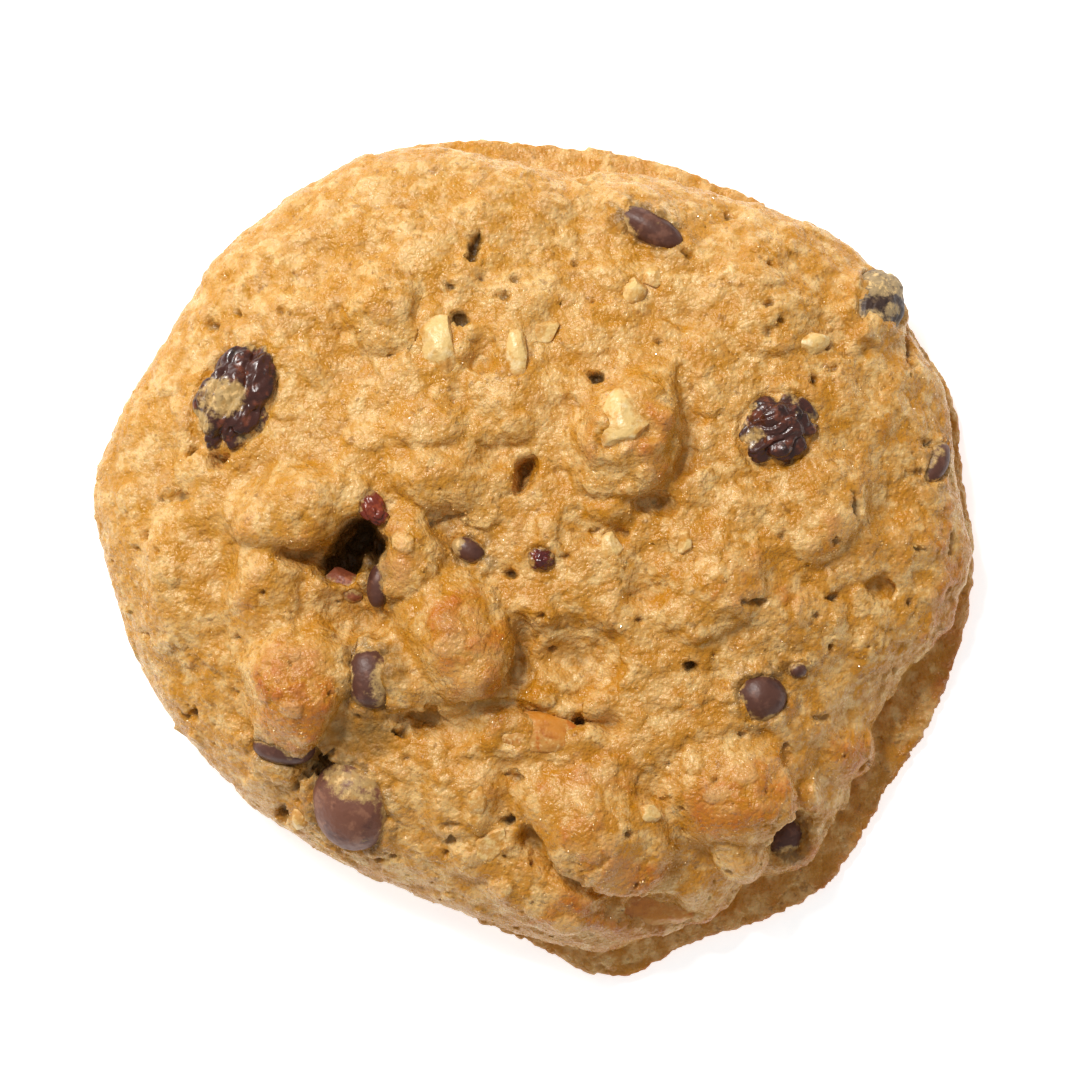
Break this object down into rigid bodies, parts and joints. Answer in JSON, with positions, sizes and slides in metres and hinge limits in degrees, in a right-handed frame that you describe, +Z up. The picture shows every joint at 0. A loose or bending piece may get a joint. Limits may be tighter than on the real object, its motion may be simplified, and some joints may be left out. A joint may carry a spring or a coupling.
{
  "type": "kitchen sink cookie",
  "caption": "Thick domed drop cookie with a craggy, lobed top, a thin run-out foot, and raisins, chocolate chips, nut chunks and caramel set into the dough; rests on its flat underside.",
  "frame": {"origin": "centre of the cookie's bounding box in plan, on the flat underside", "axes": "+Z up from the underside, +X along the longest width, towards the side with the broad foot; +Y across"},
  "size_m": [0.0966, 0.092, 0.0233],
  "materials": {
    "dough": "baked oat dough: matte and crumbly, golden, toasted on its crags, with a faint sugar glaze",
    "raisin": "wrinkled dark dried fruit skin, glossy on its folds",
    "cherry": "glossy dark red dried fruit",
    "chocolate": "satin milk chocolate with a faint bloom",
    "nut": "smooth pale chopped nut, toasted at its edges",
    "pecan": "red-brown nut skin, satin",
    "caramel": "smooth baked caramel, soft gloss"
  },
  "bodies": {
    "root": {"dough": "dough", "raisin_left": "raisin", "raisin_right": "raisin", "raisin_buried": "raisin", "fruit_skin": "raisin", "cherry_dot": "cherry", "chip_top": "chocolate", "chip_rim": "chocolate", "chip_round": "chocolate", "chip_tiny": "chocolate", "chip_knob": "chocolate", "chip_big": "chocolate", "chip_shelf": "chocolate", "chip_mid": "chocolate", "chip_hollow": "chocolate", "chip_neck": "chocolate", "nut_pale": "nut", "nut_cluster": "nut", "nut_sliver": "nut", "nut_bit_1": "nut", "nut_bit_2": "nut", "nut_bit_3": "nut", "nut_bit_4": "nut", "nut_bit_5": "nut", "nut_bit_6": "nut", "nut_bit_7": "nut", "nut_bit_8": "nut", "nut_bit_9": "nut", "nut_bit_10": "nut", "pecan_bit": "pecan", "caramel_slab": "caramel", "caramel_lip": "caramel"}
  },
  "joints": []
}
